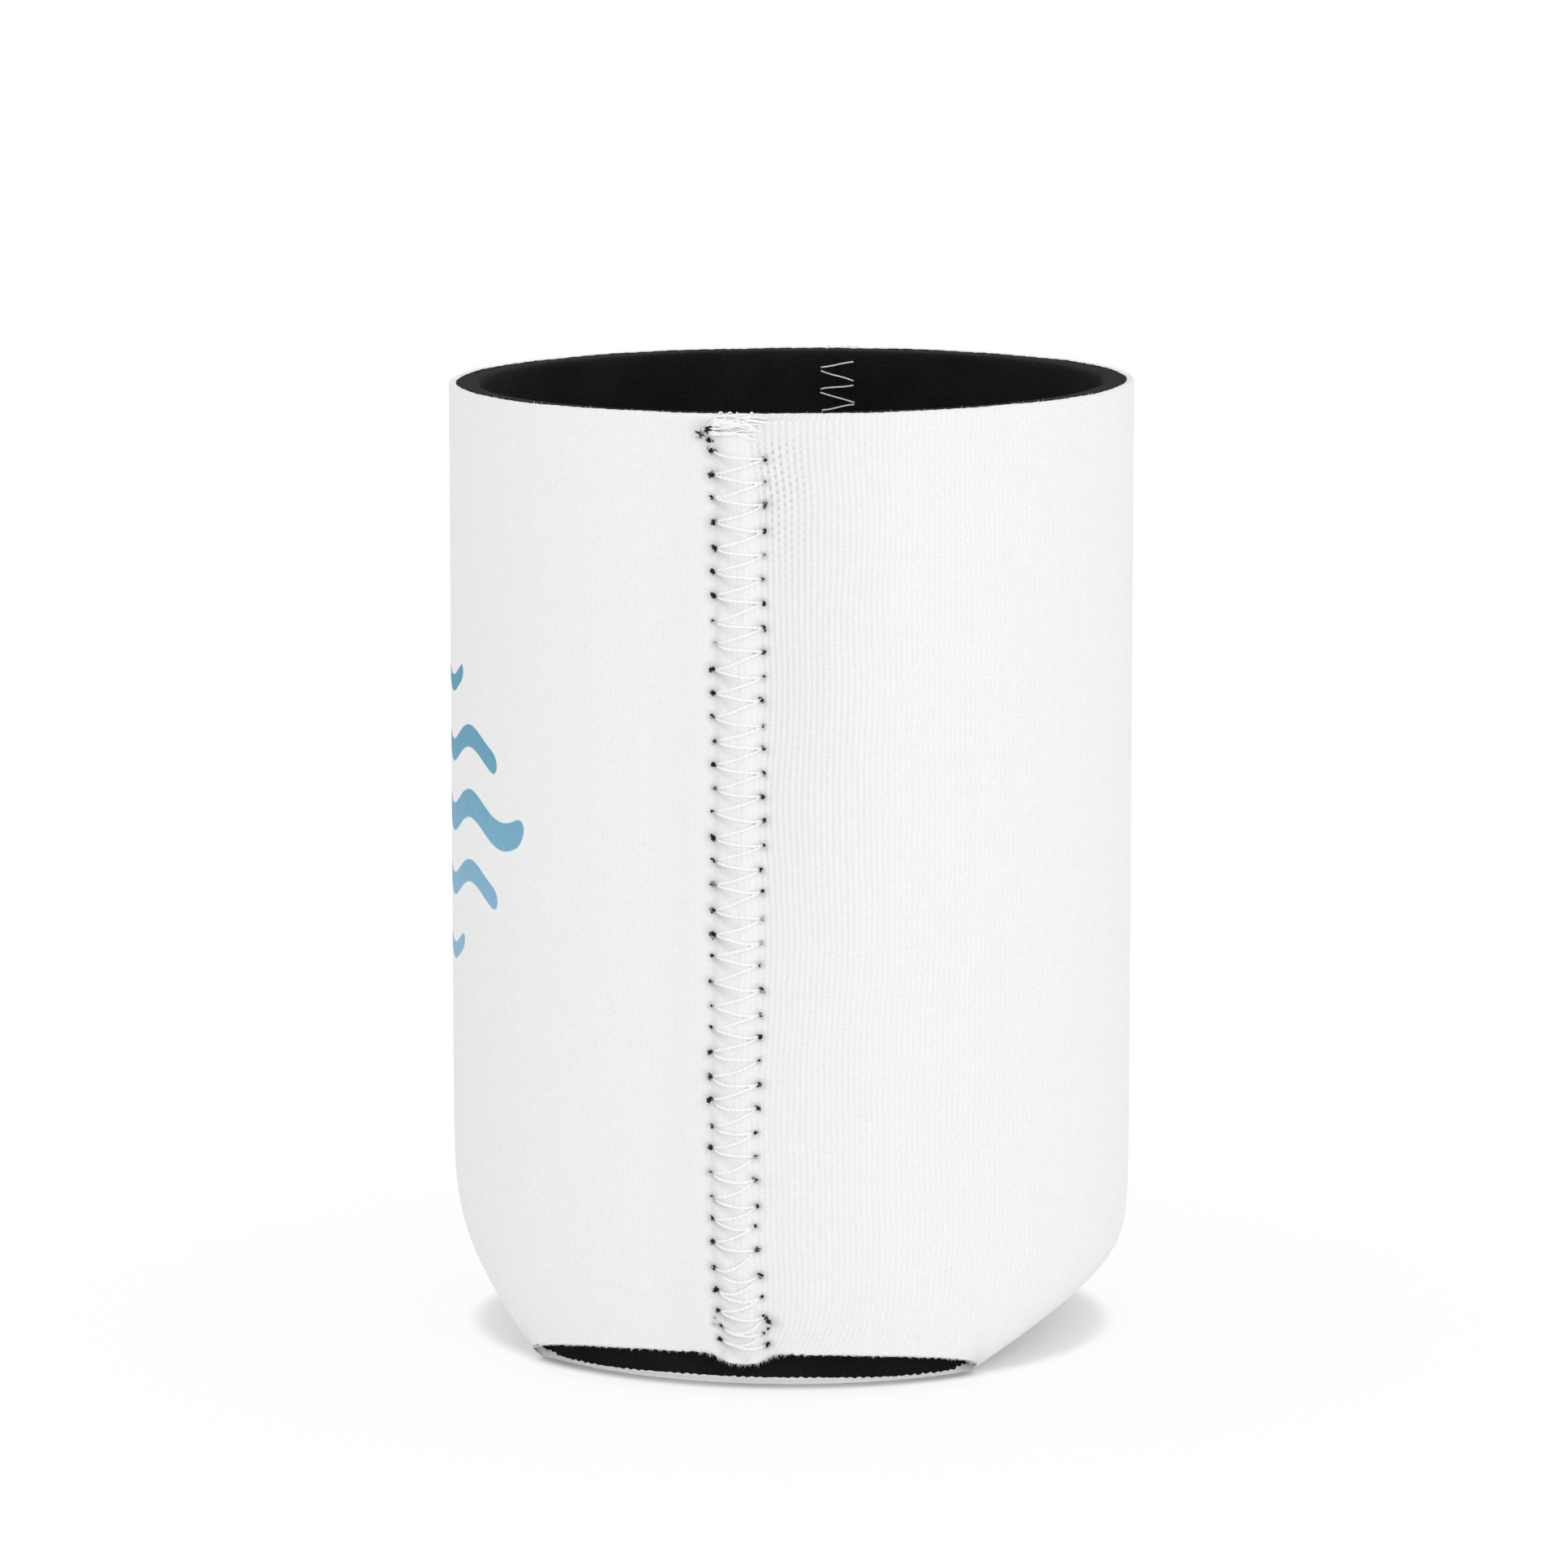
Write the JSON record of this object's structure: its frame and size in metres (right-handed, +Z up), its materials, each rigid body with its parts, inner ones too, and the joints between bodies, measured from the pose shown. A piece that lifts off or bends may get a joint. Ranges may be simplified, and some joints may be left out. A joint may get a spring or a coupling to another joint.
{
  "type": "can cooler sleeve",
  "caption": "Round fold-flat can sleeve of knit-faced foam, folded flat under the base, open at the top, with a zigzag butt seam up each side.",
  "frame": {"origin": "middle of the underside, on the surface that the sleeve stands on", "axes": "+Z up along the axis of the sleeve, out of its mouth; -Y is the middle of the printed front panel; the side seams are on +X and -X"},
  "size_m": [0.074, 0.0728, 0.1019],
  "materials": {
    "white_knit": "white polyester jersey knit with fine upright wales, matte, and a soft printed motif in blue on the front",
    "black_foam": "black closed-cell foam rubber, matte, with a fine open grain on its cut edges",
    "white_thread": "white textured polyester sewing thread with a soft sheen"
  },
  "bodies": {
    "root": {"knit_face": "white_knit", "foam_core": "black_foam", "needle_thread_right": "white_thread", "needle_thread_left": "white_thread", "bobbin_thread_right": "white_thread", "bobbin_thread_left": "white_thread"}
  },
  "joints": []
}
